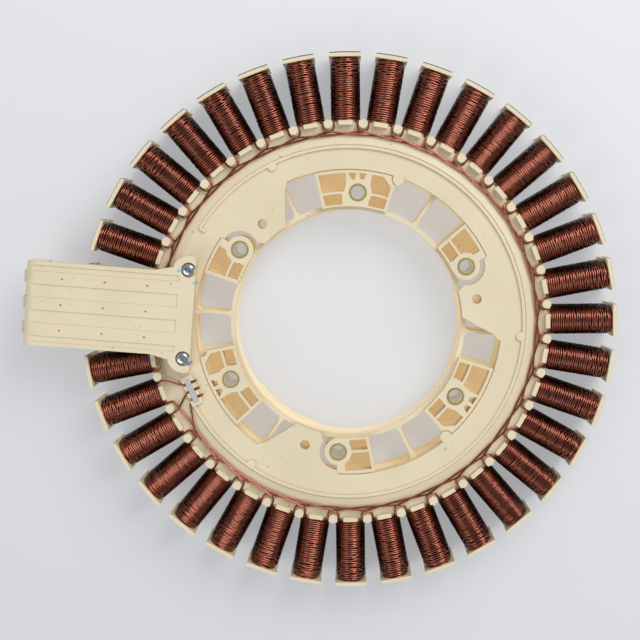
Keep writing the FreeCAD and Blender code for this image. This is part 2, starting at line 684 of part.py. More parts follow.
def make_arm():
    """The moulded cover that leads the three phase wires out to the connector."""
    body = new_body("connector_arm")
    turn_body(body, as_size(180))
    shroud_inner = a.arm_reach - a.shroud_depth
    side = body.newObject("Sketcher::SketchObject", "side_view")
    side.AttachmentSupport = [(origin_part(body, "XZ_Plane"), "")]
    side.MapMode = "FlatFace"
    foot = a.plate_inner_radius + a.arm_foot
    arm_side(side, foot, shroud_inner)
    body_pad = pad(body, side, a.arm_half_width * 2, "arm")
    body_pad.Midplane = True

    for step in (-1, 1):
        ear = flat_sketch(body, plate_top)
        circle(ear, a.screw_reach, a.screw_offset * step, a.ear_radius)
        ear_pad = pad(body, ear, a.arm_top - plate_top, "ear")
        web = flat_sketch(body, plate_top)
        reach = a.screw_reach + a.ear_radius
        flare = reach + a.ear_fillet
        outline(web, [(a.plate_inner_radius, a.arm_half_width * step * 0.5),
                      (flare, a.arm_half_width * step * 0.5), (flare, a.arm_half_width * step),
                      (reach, (a.arm_half_width + 2) * step), (reach, a.screw_offset * step),
                      (a.plate_inner_radius, a.screw_offset * step)])
        pad(body, web, a.arm_top - plate_top, "ear_web")
    edge = flat_sketch(body, a.arm_top)
    outline(edge, box_corners(a.plate_inner_radius - 10, a.plate_inner_radius,
                              a.screw_offset + a.ear_radius + 1))
    pocket(body, edge, a.arm_top - plate_top, "inner_edge")
    clear = flat_sketch(body, a.arm_under)
    outline(clear, box_corners(foot, shroud_inner, a.arm_half_width * 2))
    pocket(body, clear, a.arm_under - plate_top, "coil_clearance")

    for middle in arm_channels():
        room = flat_sketch(body, a.arm_top - a.arm_skin)
        half = a.channel_width / 2
        outline(room, [(foot + 2, middle - half), (shroud_inner, middle - half),
                       (shroud_inner, middle + half), (foot + 2, middle + half)])
        pocket(body, room, a.arm_top - a.arm_skin - a.arm_under, "lead_channel")
        socket = flat_sketch(body, -a.shroud_drop + a.socket_floor + a.socket_height)
        half = a.socket_width / 2
        outline(socket, [(shroud_inner - 1, middle - half), (a.arm_reach + 1, middle - half),
                         (a.arm_reach + 1, middle + half), (shroud_inner - 1, middle + half)])
        pocket(body, socket, a.socket_height, "socket")
        latch = flat_sketch(body, -a.shroud_drop + a.socket_floor + a.socket_height + 1)
        half = a.latch_width / 2
        outline(latch, [(a.arm_reach - 1, middle - half), (a.arm_reach + a.latch_length, middle - half),
                        (a.arm_reach + a.latch_length, middle + half), (a.arm_reach - 1, middle + half)])
        pad(body, latch, a.latch_thickness, "latch")

    land = a.panel_width / 2
    edges = [-(a.arm_half_width - a.arm_rim), -a.lead_pitch - land, -a.lead_pitch + land, -land,
             land, a.lead_pitch - land, a.lead_pitch + land, a.arm_half_width - a.arm_rim]
    for low, high in zip(edges[0::2], edges[1::2]):
        step = flat_sketch(body, a.arm_top)
        outline(step, [(foot, low), (a.arm_reach + 1, low), (a.arm_reach + 1, high), (foot, high)])
        pocket(body, step, a.panel_step, "panel_step")
    for row in range(3):
        for middle in arm_channels():
            vent = flat_sketch(body, a.arm_top)
            circle(vent, foot + 12 + a.vent_pitch * row, middle, a.vent_radius)
            pocket(body, vent, 0.8, "vent")

    for step in (-1, 1):
        recess = flat_sketch(body, a.arm_top)
        circle(recess, a.screw_reach, a.screw_offset * step, a.counterbore_radius)
        pocket(body, recess, a.counterbore_depth, "counterbore")
        hole = flat_sketch(body, a.arm_top)
        circle(hole, a.screw_reach, a.screw_offset * step, a.screw_shank_radius + a.fit_gap)
        pocket(body, hole, a.arm_top - plate_top, "screw_hole")
    return body


def arm_side(sketch, foot, shroud_inner):
    """The arm seen from its side, with the outer top edge rounded."""
    radius = a.arm_end_radius
    end, top = a.arm_reach, a.arm_top
    corners = [(a.plate_inner_radius, plate_top), (foot, plate_top), (foot, a.arm_under),
               (shroud_inner, a.arm_under), (shroud_inner, -a.shroud_drop), (end, -a.shroud_drop),
               (end, top - radius), (end - radius, top), (a.plate_inner_radius, top)]
    spots = [FreeCAD.Vector(x.value, y.value, 0) for x, y in corners]
    centre = FreeCAD.Vector((end - radius).value, (top - radius).value, 0)
    rules = []
    for i, spot in enumerate(spots):
        after = spots[(i + 1) % len(spots)]
        if i == 6:
            sketch.addGeometry(Part.ArcOfCircle(Part.Circle(centre, UP, radius.value), 0, math.pi / 2))
            rules.append(("Tangent", 5, 2, 6, 1))
            rules.append(("Tangent", 6, 2, 7, 1))
            rules.append(("Radius", 6, radius))
        else:
            sketch.addGeometry(Part.LineSegment(spot, after))
            if i != 7:
                x, y = corners[i]
                rules.append(("DistanceX", -1, 1, i, 1, x))
                rules.append(("DistanceY", -1, 1, i, 1, y))
            if i not in (5, 6, 7):
                rules.append(("Coincident", i, 2, (i + 1) % len(spots), 1))
    rules.append(("Coincident", 7, 2, 8, 1))
    rules.append(("Vertical", 5))
    rules.append(("Horizontal", 7))
    add_bound(sketch, rules)


def make_terminal(number):
    """A bent tab whose blade stands in a socket and whose tail meets the lead."""
    body = new_body(f"phase_terminal_{number + 1}")
    turn_body(body, as_size(180))
    middle = arm_channels()[number]
    inner = a.arm_reach - a.shroud_depth
    blade_low = -a.shroud_drop + a.socket_floor + a.socket_height / 2 - a.blade_thickness / 2
    tail = flat_sketch(body, blade_low)
    half = a.blade_width / 2
    outline(tail, [(inner - a.blade_thickness, middle - half), (inner, middle - half),
                   (inner, middle + half), (inner - a.blade_thickness, middle + half)])
    pad(body, tail, a.arm_under + 4 - blade_low, "tail")
    blade = flat_sketch(body, blade_low)
    outline(blade, [(inner - 0.2, middle - half), (a.arm_reach - 1.5, middle - half),
                    (a.arm_reach - 1.5, middle + half), (inner - 0.2, middle + half)])
    pad(body, blade, a.blade_thickness, "blade")
    return body


def make_arm_screw(number):
    """A pan-head screw that holds the arm to the plate."""
    body = new_body(f"arm_screw_{number + 1}")
    section = upright_sketch(body)
    head_low = a.arm_top - a.counterbore_depth
    head_top = head_low + a.screw_head_height
    crown = a.screw_head_radius * 0.8
    outline(section, [
        (ZERO, head_low - a.screw_length), (a.screw_shank_radius * 0.4, head_low - a.screw_length),
        (a.screw_shank_radius, head_low - a.screw_length + 2), (a.screw_shank_radius, head_low),
        (a.screw_head_radius, head_low), (a.screw_head_radius, head_top - 0.8),
        (crown, head_top), (ZERO, head_top)])
    turned(body, "Revolution", section, as_size(360), "screw")
    cross = flat_sketch(body, head_top, as_size(35))
    outline(cross, box_corners(as_size(-1.8), as_size(1.8), as_size(0.4)))
    bar = pocket(body, cross, as_size(1.1), "cross_recess")
    feature = around(body, [bar], as_size(4), "cross")
    feature.Angle = 360
    bind(body, "Placement.Base.x", -a.screw_reach)
    bind(body, "Placement.Base.y", a.screw_offset * (1 if number else -1))
    return body


def make_splice():
    """The crimped bar that joins the three phase ends."""
    body = new_body("neutral_crimp")
    turn_body(body, a.splice_angle)
    low = plate_top + 0.3
    sketch = flat_sketch(body, low)
    outline(sketch, box_corners(a.splice_radius - a.splice_width / 2, a.splice_radius + a.splice_width / 2,
                                a.splice_length / 2))
    pad(body, sketch, a.splice_height, "bar")
    upright = upright_sketch(body, as_size(90))
    for step in (-1, 0, 1):
        circle(upright, a.splice_pitch * step, low + a.splice_height / 2, a.wire_radius + a.wire_clearance)
    holes = pocket(body, upright, a.splice_radius * 2, "wire_holes")
    holes.Midplane = True
    return body


# ------------------------------------------------------------------ wires

def spot(radius, angle, height):
    """A point on a wire's route, from a radius, an angle and a height."""
    turn = math.radians(angle)
    return FreeCAD.Vector(radius * math.cos(turn), radius * math.sin(turn), height)


def wire_tube(route, radius):
    """A round wire along straight runs that are joined by tangent arcs."""
    runs = [(route[i + 1] - route[i]) for i in range(len(route) - 1)]
    edges, start = [], route[0]
    for i in range(1, len(route) - 1):
        into, out = runs[i - 1], runs[i]
        half_turn = into.getAngle(out) / 2
        cut = 0.45 * min(into.Length, out.Length)
        bend = cut / math.tan(half_turn)
        begin = route[i] - into.normalize() * cut
        finish = route[i] + FreeCAD.Vector(out).normalize() * cut
        inward = (begin + finish) * 0.5 - route[i]
        centre = route[i] + inward.normalize() * (bend / math.cos(half_turn))
        crest = centre + (route[i] - centre).normalize() * bend
        edges.append(Part.LineSegment(start, begin).toShape())
        edges.append(Part.Arc(begin, crest, finish).toShape())
        start = finish
    edges.append(Part.LineSegment(start, route[-1]).toShape())
    path = Part.Wire(edges)
    profile = Part.Wire(Part.makeCircle(radius, route[0], route[1] - route[0]))
    return path.makePipeShell([profile], True, False)


def link_route(start_peg):
    """From the tooth before a peg, past its nose, to the tooth after the second peg on."""
    pitch = tooth_pitch.value
    low = lane_top.value + a.wire_radius.value + a.wire_clearance.value
    high = low + a.link_rise.value
    inside = peg_nose_radius.value - a.wire_radius.value - 0.25
    beside = math.degrees((a.peg_radius.value + a.wire_radius.value + 0.1) / inside)
    coil_face = coil_inner_radius.value
    return [spot(coil_face, start_peg - beside * 0.96, low),
            spot(inside, start_peg - beside, low),
            spot(inside - a.link_sag.value, start_peg + pitch, (low + high) / 2),
            spot(inside, start_peg + 2 * pitch + beside, high),
            spot(coil_face, start_peg + 2 * pitch + beside * 0.96, low)]


def tail_route(peg, step):
    """From the tooth after a peg to one of the three holes of the splice."""
    low = lane_top.value + a.wire_radius.value + a.wire_clearance.value
    high = low + a.link_rise.value
    inside = peg_nose_radius.value - a.wire_radius.value - 0.25
    beside = math.degrees((a.peg_radius.value + a.wire_radius.value + 0.1) / inside)
    turn = a.splice_angle.value
    bar = plate_top.value + 0.3 + a.splice_height.value / 2
    offset = a.splice_pitch.value * step
    around_axis = FreeCAD.Rotation(UP, turn)
    stub = around_axis.multVec(FreeCAD.Vector(a.splice_radius.value - 4.4, offset, bar))
    entry = around_axis.multVec(FreeCAD.Vector(a.splice_radius.value + 3, offset, bar))
    return [spot(coil_inner_radius.value, peg + beside * 0.96, low),
            spot(inside, peg + beside, high), entry, stub]


def lead_route(peg, lane):
    """From the tooth before a peg, up into a channel of the arm and out to its terminal."""
    low = lane_top.value + a.wire_radius.value + a.wire_clearance.value
    inside = peg_nose_radius.value - a.wire_radius.value - 0.25
    beside = math.degrees((a.peg_radius.value + a.wire_radius.value + 0.1) / inside)
    middle = a.lead_pitch.value * lane
    channel = a.arm_under.value + 2.3
    tail_face = a.arm_reach.value - a.shroud_depth.value - a.blade_thickness.value
    start = spot(coil_inner_radius.value, peg - beside * 0.96, low)
    rise = spot(inside + 0.9, peg - beside * 1.25, low + 1.2)
    across = FreeCAD.Vector(-96.2, (rise.y + middle) / 2, (low + channel) / 2 + 0.8)
    return [start, rise, across, FreeCAD.Vector(-100, middle, channel),
            FreeCAD.Vector(-tail_face, middle, channel)]


def make_phase_wires(number):
    """The links between the coils of one phase, its lead and its tail to the splice."""
    pitch = tooth_pitch.value
    per_phase = int(a.tooth_count.value / 3)
    first_tooth = 205 + pitch * number
    routes = [link_route(first_tooth + 5 + 3 * pitch * i) for i in range(per_phase - 1)]
    routes.append(tail_route(first_tooth - 5, number - 1))
    routes.append(lead_route(first_tooth - 3 * pitch + 5, number - 1 if number != 2 else 1))
    shapes = [wire_tube(route, a.wire_radius.value) for route in routes]
    wires = doc.addObject("Part::Feature", f"phase_wires_{number + 1}")
    wires.Label = f"phase_wires_{number + 1}"
    wires.Shape = Part.makeCompound(shapes)
    wires.Placement = FreeCAD.Placement()
    return wires


# ------------------------------------------------------------------ build

def build():
    parts = [make_core(), make_upper_insulator(), make_lower_insulator(), make_arm(), make_splice()]
    parts += [make_sleeve(i) for i in range(int(a.sleeve_count.value))]
    parts += [make_coil(i) for i in range(int(a.tooth_count.value))]
    parts += [make_terminal(i) for i in range(3)]
    parts += [make_arm_screw(i) for i in range(2)]
    parts += [make_phase_wires(i) for i in range(3)]
    doc.recompute()
    return parts


def check(parts):
    """Stops before anything is written if an object failed or a shape is unsound."""
    for thing in doc.Objects:
        if "Invalid" in thing.State or "Error" in thing.State:
            raise RuntimeError(f"{thing.Name} ({thing.Label}) is {thing.State}")
    for part in parts:
        if part.Shape.isNull() or not part.Shape.isValid():
            raise RuntimeError(f"{part.Label} has no sound shape")


parts = build()
check(parts)
for part in parts:
    part.Shape.exportStep(f"parts/{part.Label}.step")
    box = part.Shape.BoundBox
    print(f"{part.Label:20s} {len(part.Shape.Solids)} solids {part.Shape.Volume:10.1f} mm3 "
          f"x {box.XMin:.1f}..{box.XMax:.1f} y {box.YMin:.1f}..{box.YMax:.1f} z {box.ZMin:.1f}..{box.ZMax:.1f}")
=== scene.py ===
"""A wound motor stator: finishes for its moulded and stamped pieces, and its coils wound turn by turn."""
import json
import math

import bmesh
import bpy
from mathutils import Matrix, Vector

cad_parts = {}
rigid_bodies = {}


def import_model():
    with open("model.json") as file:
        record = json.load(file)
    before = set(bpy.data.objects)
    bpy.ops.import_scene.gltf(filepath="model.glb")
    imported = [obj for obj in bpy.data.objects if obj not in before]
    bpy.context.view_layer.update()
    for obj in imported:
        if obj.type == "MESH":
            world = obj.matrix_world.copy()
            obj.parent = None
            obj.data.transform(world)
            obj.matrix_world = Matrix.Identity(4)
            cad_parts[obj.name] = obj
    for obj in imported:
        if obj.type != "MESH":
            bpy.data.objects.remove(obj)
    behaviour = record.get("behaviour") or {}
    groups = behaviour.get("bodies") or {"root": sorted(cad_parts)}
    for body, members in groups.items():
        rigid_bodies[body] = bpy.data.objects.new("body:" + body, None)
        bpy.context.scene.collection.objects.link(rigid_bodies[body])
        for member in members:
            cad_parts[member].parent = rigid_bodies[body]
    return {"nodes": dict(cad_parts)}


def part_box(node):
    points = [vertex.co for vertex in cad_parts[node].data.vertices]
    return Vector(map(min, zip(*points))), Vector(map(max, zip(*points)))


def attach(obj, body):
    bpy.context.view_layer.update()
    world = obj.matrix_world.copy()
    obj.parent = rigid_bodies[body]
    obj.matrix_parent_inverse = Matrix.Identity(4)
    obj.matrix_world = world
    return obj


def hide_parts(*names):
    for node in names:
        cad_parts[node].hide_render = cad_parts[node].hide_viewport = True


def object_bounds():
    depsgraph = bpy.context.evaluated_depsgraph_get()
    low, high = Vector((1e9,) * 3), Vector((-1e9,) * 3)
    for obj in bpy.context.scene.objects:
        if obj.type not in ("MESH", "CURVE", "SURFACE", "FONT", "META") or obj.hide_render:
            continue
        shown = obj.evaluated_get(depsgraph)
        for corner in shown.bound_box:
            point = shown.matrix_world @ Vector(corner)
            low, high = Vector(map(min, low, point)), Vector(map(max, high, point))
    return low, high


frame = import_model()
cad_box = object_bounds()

MM = 0.001
TEETH = 36
TOOTH_PITCH = 360 / TEETH
FIRST_TOOTH = 5
NODES = frame["nodes"]
VIEW_TURN = math.radians(4.25)
VIEW_RIGHT = Vector((math.cos(VIEW_TURN), math.sin(VIEW_TURN), 0))
VIEW_UP = Vector((-math.sin(VIEW_TURN), math.cos(VIEW_TURN), 0))

# How much light of its own each finish gives to the camera: the floor's is an even backdrop glow, the others
# are painted light
FLOOR_GLOW = 0.5
DEEP_WALL_PAINTED_GLOW = 0.24
JOINT_PAINTED_GLOW = 0.30
BORE_PAINTED_GLOW = 0.2


# ---------------------------------------------------------------- node trees

class Nodes:
    """Short calls for building one node tree."""

    def __init__(self, tree):
        self.tree = tree

    def feed(self, socket, value):
        if isinstance(value, bpy.types.NodeSocket):
            self.tree.links.new(value, socket)
        else:
            socket.default_value = value

    def add(self, kind, settings=None, **inputs):
        node = self.tree.nodes.new(kind)
        for name, value in (settings or {}).items():
            setattr(node, name, value)
        for name, value in inputs.items():
            self.feed(node.inputs[name.replace("_", " ")], value)
        return node

    def work(self, operation, *values):
        node = self.add("ShaderNodeMath", {"operation": operation})
        for socket, value in zip(node.inputs, values):
            self.feed(socket, value)
        return node.outputs[0]

    def plus(self, *values):
        total = values[0]
        for value in values[1:]:
            total = self.work("ADD", total, value)
        return total

    def times(self, *values):
        total = values[0]
        for value in values[1:]:
            total = self.work("MULTIPLY", total, value)
        return total

    def blend(self, low, high, share):
        """low where share is 0 and high where it is 1."""
        rise = self.work("SUBTRACT", high, low)
        return self.work("MULTIPLY_ADD", rise, share, low)

    def ramp(self, value, low, high, smooth=True):
        """0 below low, 1 above high."""
        kind = "SMOOTHSTEP" if smooth else "LINEAR"
        node = self.add("ShaderNodeMapRange", {"interpolation_type": kind}, Value=value)
        self.feed(node.inputs["From Min"], low)
        self.feed(node.inputs["From Max"], high)
        return node.outputs["Result"]


# ---------------------------------------------------------------- finishes

def new_material(name):
    """A material, its tree and its principled shader."""
    material = bpy.data.materials.new(name)
    material.use_nodes = True
    nodes = Nodes(material.node_tree)
    return material, nodes, material.node_tree.nodes["Principled BSDF"]


def object_place(nodes):
    return nodes.add("ShaderNodeTexCoord").outputs["Object"]


def noise(nodes, place, scale, detail=3.0):
    return nodes.add("ShaderNodeTexNoise", Vector=place, Scale=scale, Detail=detail).outputs["Fac"]


def mix_colour(nodes, share, first, second):
    node = nodes.add("ShaderNodeMix", {"data_type": "RGBA"})
    nodes.feed(node.inputs["Factor"], share)
    nodes.feed(node.inputs[6], first)
    nodes.feed(node.inputs[7], second)
    return node.outputs[2]


def bump(nodes, height, strength, depth, normal=None):
    node = nodes.add("ShaderNodeBump", Height=height, Strength=strength, Distance=depth)
    if normal:
        nodes.feed(node.inputs["Normal"], normal)
    return node.outputs["Normal"]


# Pen dabs: place from above and size in millimetres, and which ink
PLASTIC_INK = [
    ((-84.6, 20.3), 0.8, "pale"), ((-85.6, 20.0), 0.5, "pale"), ((-76.9, 14.9), 0.7, "pale"),
    ((-76.0, 14.2), 0.6, "pale"), ((-81.7, -27.0), 0.5, "pale"), ((-159.9, 3.2), 0.6, "pale"),
    ((-75.4, 6.0), 0.5, "deep"), ((-76.9, -25.2), 0.9, "deep"), ((-78.2, -24.8), 0.5, "deep"),
    ((-159.2, 2.4), 0.6, "deep"),
]
COIL_INK = [((-98.8, -26.4), 0.8, "deep"), ((-98.4, -27.4), 0.6, "deep")]
INKED_COIL = 20
INK_COLOURS = {"pale": (0.06, 0.55, 0.75, 1), "deep": (0.02, 0.10, 0.60, 1)}
INK_COVER = 0.85
INK_RIM, INK_EDGE = 1.7, 1.2


def inked(nodes, place, skin, marks):
    """The skin with small dabs of an inspector's pen on it, ragged at their rims."""
    ragged = nodes.times(noise(nodes, place, 900, 2), 0.9 * MM)
    flat = nodes.add("ShaderNodeVectorMath", {"operation": "MULTIPLY"})
    nodes.feed(flat.inputs[0], place)
    flat.inputs[1].default_value = (1, 1, 0)
    for ink, colour in INK_COLOURS.items():
        share = 0.0
        for (x, y), size, which in marks:
            if which == ink:
                gap = nodes.add("ShaderNodeVectorMath", {"operation": "DISTANCE"})
                nodes.feed(gap.inputs[0], flat.outputs[0])
                gap.inputs[1].default_value = (x * MM, y * MM, 0)
                away = nodes.plus(gap.outputs["Value"], ragged)
                dab = nodes.ramp(away, size * INK_RIM * MM, size * INK_EDGE * MM)
                share = nodes.work("MAXIMUM", share, dab)
        skin = mix_colour(nodes, nodes.times(share, INK_COVER), skin, colour)
    return skin


def openness(nodes, reach, samples=3):
    """1 on an open face, towards 0 in a joint or a corner narrower than the reach."""
    node = nodes.add("ShaderNodeAmbientOcclusion", {"samples": samples}, Distance=reach)
    return node.outputs["AO"]


def moulded_plastic():
    """Cream glass-filled resin: satin, faintly clouded, with specks and pen marks.

    Its corners are painted browner as shade, and painted light glows from the deep walls and from the joints
    low down.
    """
    material, nodes, shader = new_material("moulded_resin")
    place = object_place(nodes)
    cloud = nodes.ramp(noise(nodes, place, 28, 4), 0.35, 0.65)
    fine = noise(nodes, place, 900, 2)
    specks = nodes.ramp(noise(nodes, place, 420, 1), 0.245, 0.225)
    skin = mix_colour(nodes, cloud, (0.735, 0.635, 0.43, 1), (0.775, 0.675, 0.47, 1))
    skin = mix_colour(nodes, nodes.times(specks, 0.6), skin, (0.33, 0.25, 0.16, 1))
    skin = inked(nodes, place, skin, PLASTIC_INK)
    # Painted shade: the skin turns brown in corners and narrow joints, where shade falls
    corner = nodes.ramp(openness(nodes, 2.5 * MM), 0.75, 0.2)
    skin = mix_colour(nodes, nodes.times(corner, 0.55), skin, (0.60, 0.40, 0.19, 1))
    nodes.feed(shader.inputs["Base Color"], skin)
    # Painted light: the resin glows warm low down in the deep pockets and in narrow joints, brightening them
    height = nodes.add("ShaderNodeSeparateXYZ", Vector=place).outputs["Z"]
    deep = nodes.ramp(height, -3.5 * MM, -13 * MM)
    low_joint = nodes.ramp(height, 6 * MM, 3 * MM)
    joint = nodes.times(nodes.ramp(openness(nodes, 1.0 * MM), 0.45, 0.1), low_joint)
    shader.inputs["Emission Color"].default_value = (0.80, 0.61, 0.37, 1)
    glow = nodes.plus(nodes.times(deep, DEEP_WALL_PAINTED_GLOW), nodes.times(joint, JOINT_PAINTED_GLOW))
    nodes.feed(shader.inputs["Emission Strength"], glow)
    nodes.feed(shader.inputs["Roughness"], nodes.blend(0.45, 0.6, fine))
    shader.inputs["Subsurface Weight"].default_value = 0.04
    shader.inputs["Subsurface Radius"].default_value = (0.0022, 0.0014, 0.0007)
    shader.inputs["Subsurface Scale"].default_value = 1.0
    edge = nodes.add("ShaderNodeBevel", {"samples": 4}, Radius=0.2 * MM).outputs["Normal"]
    nodes.feed(shader.inputs["Normal"], bump(nodes, fine, 0.1, 0.04 * MM, edge))
    return material


ENAMEL_TINT = (0.52, 0.16, 0.095)
# Near-black painted shade for the layer of wire seen in the gaps between the turns
SHADED_TINT = (0.02, 0.005, 0.003)


def wire_enamel(name, tint, marks=()):
    """Copper under a dark red-brown lacquer, here glossy, there duller; lower down, between the teeth, it is
    painted nearly black as shade.
    """
    material, nodes, shader = new_material(name)
    place = object_place(nodes)
    patch = nodes.ramp(noise(nodes, place, 160, 3), 0.3, 0.7)
    height = nodes.add("ShaderNodeSeparateXYZ", Vector=place).outputs["Z"]
    # Painted shade: lower on the coil the colour goes nearly black and the coat thins
    lit = nodes.ramp(height, -6.0 * MM, -1.2 * MM)
    colour = mix_colour(nodes, patch, tuple(0.8 * part for part in tint) + (1,), tint + (1,))
    colour = mix_colour(nodes, nodes.blend(0.22, 1.0, lit), (0.006, 0.003, 0.002, 1), colour)
    if marks:
        colour = inked(nodes, place, colour, marks)
    nodes.feed(shader.inputs["Base Color"], colour)
    nodes.feed(shader.inputs["Roughness"], nodes.blend(0.22, 0.32, patch))
    shader.inputs["Metallic"].default_value = 0.96
    nodes.feed(shader.inputs["Coat Weight"], nodes.blend(0.05, 0.5, lit))
    shader.inputs["Coat Roughness"].default_value = 0.18
    return material


SHEET_THICKNESS = 0.5 * MM


def lamination_steel():
    """Stamped electrical steel: a line at each sheet's edge, sheets of several greys, rust-brown stains."""
    material, nodes, shader = new_material("lamination_steel")
    place = object_place(nodes)
    height = nodes.add("ShaderNodeSeparateXYZ", Vector=place).outputs["Z"]
    sheets_up = nodes.times(height, 1 / SHEET_THICKNESS)
    sheet = nodes.work("FRACT", sheets_up)
    joint = nodes.work("ABSOLUTE", nodes.work("SUBTRACT", sheet, 0.5))
    line = nodes.ramp(joint, 0.5, 0.36)
    sheet_number = nodes.work("FLOOR", sheets_up)
    tone = nodes.add("ShaderNodeTexWhiteNoise", {"noise_dimensions": "1D"}, W=sheet_number).outputs["Value"]
    stain = nodes.ramp(noise(nodes, place, 70, 5), 0.52, 0.72)
    steel = mix_colour(nodes, tone, (0.27, 0.27, 0.275, 1), (0.42, 0.42, 0.43, 1))
    steel = mix_colour(nodes, stain, steel, (0.30, 0.22, 0.15, 1))
    steel = mix_colour(nodes, line, (0.08, 0.075, 0.07, 1), steel)
    nodes.feed(shader.inputs["Base Color"], steel)
    shader.inputs["Metallic"].default_value = 0.8
    nodes.feed(shader.inputs["Roughness"], nodes.blend(0.38, 0.62, stain))
    nodes.feed(shader.inputs["Normal"], bump(nodes, line, 0.6, 0.08 * MM))
    return material


def plated_metal(name, colour, dark, roughness, grain, painted_bore_glow=0.0):
    """Plated steel or tin: scratches and faint clouds in the plate, and painted light glowing on upright
    walls such as a bore's.
    """
    material, nodes, shader = new_material(name)
    place = object_place(nodes)
    cloud = nodes.ramp(noise(nodes, place, grain, 4), 0.35, 0.7)
    nodes.feed(shader.inputs["Base Color"], mix_colour(nodes, cloud, dark + (1,), colour + (1,)))
    shader.inputs["Metallic"].default_value = 0.9
    nodes.feed(shader.inputs["Roughness"], nodes.blend(roughness + 0.15, roughness, cloud))
    nodes.feed(shader.inputs["Normal"], bump(nodes, noise(nodes, place, grain * 6, 2), 0.15, 0.03 * MM))
    if painted_bore_glow:
        # Painted light: upright walls, such as a bore's, glow pale
        normal = nodes.add("ShaderNodeNewGeometry").outputs["Normal"]
        facing = nodes.add("ShaderNodeSeparateXYZ", Vector=normal).outputs["Z"]
        upright = nodes.ramp(nodes.work("ABSOLUTE", facing), 0.5, 0.1)
        shader.inputs["Emission Color"].default_value = (0.86, 0.88, 0.92, 1)
        nodes.feed(shader.inputs["Emission Strength"], nodes.times(upright, painted_bore_glow))
    return material


FLOOR_HALF_SIZE = 3.0
FLOOR_LEVEL = 0.72
# Painted light: the floor's glow rises from the darkest to the brightest level up and to the right
FLOOR_PAINTED_LIGHT_RISE = VIEW_RIGHT * 0.22 + VIEW_UP * 0.5
FLOOR_DARKEST, FLOOR_BRIGHTEST = 0.6, 0.86


def studio_floor():
    """A pale sheet that the camera alone sees glowing, as if lit from below, with painted light brighter up
    and to the right.
    """
    material, nodes, shader = new_material("studio_floor")
    place = object_place(nodes)
    shader.inputs["Base Color"].default_value = (0.80, 0.805, 0.825, 1)
    shader.inputs["Roughness"].default_value = 0.8
    across = nodes.add("ShaderNodeVectorMath", {"operation": "DOT_PRODUCT"})
    nodes.feed(across.inputs[0], place)
    across.inputs[1].default_value = FLOOR_PAINTED_LIGHT_RISE
    level = nodes.plus(across.outputs["Value"], FLOOR_LEVEL)
    level = nodes.work("MINIMUM", nodes.work("MAXIMUM", level, FLOOR_DARKEST), FLOOR_BRIGHTEST)
    glow = nodes.add("ShaderNodeEmission", Color=(0.965, 0.975, 1.0, 1), Strength=level)
    seen = nodes.add("ShaderNodeLightPath").outputs["Is Camera Ray"]
    sheet = nodes.add("ShaderNodeMixShader", Fac=nodes.times(seen, FLOOR_GLOW))
    nodes.feed(sheet.inputs[1], shader.outputs[0])
    nodes.feed(sheet.inputs[2], glow.outputs[0])
    nodes.feed(material.node_tree.nodes["Material Output"].inputs["Surface"], sheet.outputs[0])
    return material


# ---------------------------------------------------------------- pieces

def new_piece(name, mesh, replaces=()):
    piece = bpy.data.objects.new(name, mesh)
    bpy.context.scene.collection.objects.link(piece)
    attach(piece, "root")
    if replaces:
        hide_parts(*replaces)
    return piece


def new_group(name, sizes):
    """An empty Geometry Nodes group with one named input for each size."""
    group = bpy.data.node_groups.new(name, "GeometryNodeTree")
    group.interface.new_socket("Geometry", in_out="OUTPUT", socket_type="NodeSocketGeometry")
    for label, value in sizes.items():
        kind = "NodeSocketInt" if isinstance(value, int) else "NodeSocketFloat"
        group.interface.new_socket(label, in_out="INPUT", socket_type=kind).default_value = value
    nodes = Nodes(group)
    inputs = nodes.add("NodeGroupInput")
    return group, nodes, {label: inputs.outputs[label] for label in sizes}


def grown_mesh(name, group, sizes):
    """The plain mesh that a Geometry Nodes group makes with these sizes."""
    holder = bpy.data.objects.new(name, bpy.data.meshes.new(name))
    bpy.context.scene.collection.objects.link(holder)
    modifier = holder.modifiers.new("grow", "NODES")
    modifier.node_group = group
    for item in group.interface.items_tree:
        if item.in_out == "INPUT" and item.name in sizes:
            modifier[item.identifier] = sizes[item.name]
    depsgraph = bpy.context.evaluated_depsgraph_get()
    mesh = bpy.data.meshes.new_from_object(
        holder.evaluated_get(depsgraph), preserve_all_data_layers=True, depsgraph=depsgraph)
    holder.modifiers.remove(modifier)
    bpy.data.objects.remove(holder)
    return mesh


# ---------------------------------------------------------------- windings

WINDING = {
    "Turns": 28,
    "Extra turns": 2,
    "Points": 32,
    "Wire radius": 0.45 * MM,
    "Half width": 7.0 * MM,
    "Half height": 13.0 * MM,
    "Length": 30.4 * MM,
    "Squareness": 2.7,
    "Groove": 0.7 * MM,
    "Seed": 1,
}


def rounded_loop(nodes, size, angle, half_width, half_height):
    """A point of a rounded rectangle at that angle: a superellipse."""
    power = nodes.work("DIVIDE", 2.0, size["Squareness"])

    def side(wave, half):
        bent = nodes.work("POWER", nodes.work("ABSOLUTE", wave), power)
        return nodes.times(nodes.work("SIGN", wave), bent, half)
    return (side(nodes.work("COSINE", angle), half_width),
            side(nodes.work("SINE", angle), half_height))


# Where in a turn the wire steps over to the next one, as shares of the turn
STEP_START, STEP_END = 0.55, 0.95
# How far each turn strays: outwards, aslant and along the tooth, and how much more in the loose turns
TURN_SWELL, TURN_SKEW, TURN_WANDER = 0.02 * MM, 0.03 * MM, 0.015 * MM
LOOSE_TURNS, LOOSE_SWELL, LOOSE_SKEW = 3.5, 4.0, 7.0
# The first turns by the tab lie closer in, and all aslant one way
FIRST_SQUEEZE, FIRST_SKEW = -0.2 * MM, 0.5 * MM
# The last turns by the flange get narrower
NARROWING_TURNS, NARROWING = 2.6, -1.1 * MM
# The extra turns climb on to the others and go back along them
CLIMB_TURNS, CLIMB, EXTRA_SKEW = 0.4, 0.8 * MM, 0.8 * MM
WIRE_SIDES = 8
LAYER_SEGMENTS = 40
LAYER_THICKNESS = 1.2 * MM
LAYER_DEPTH = 1.5


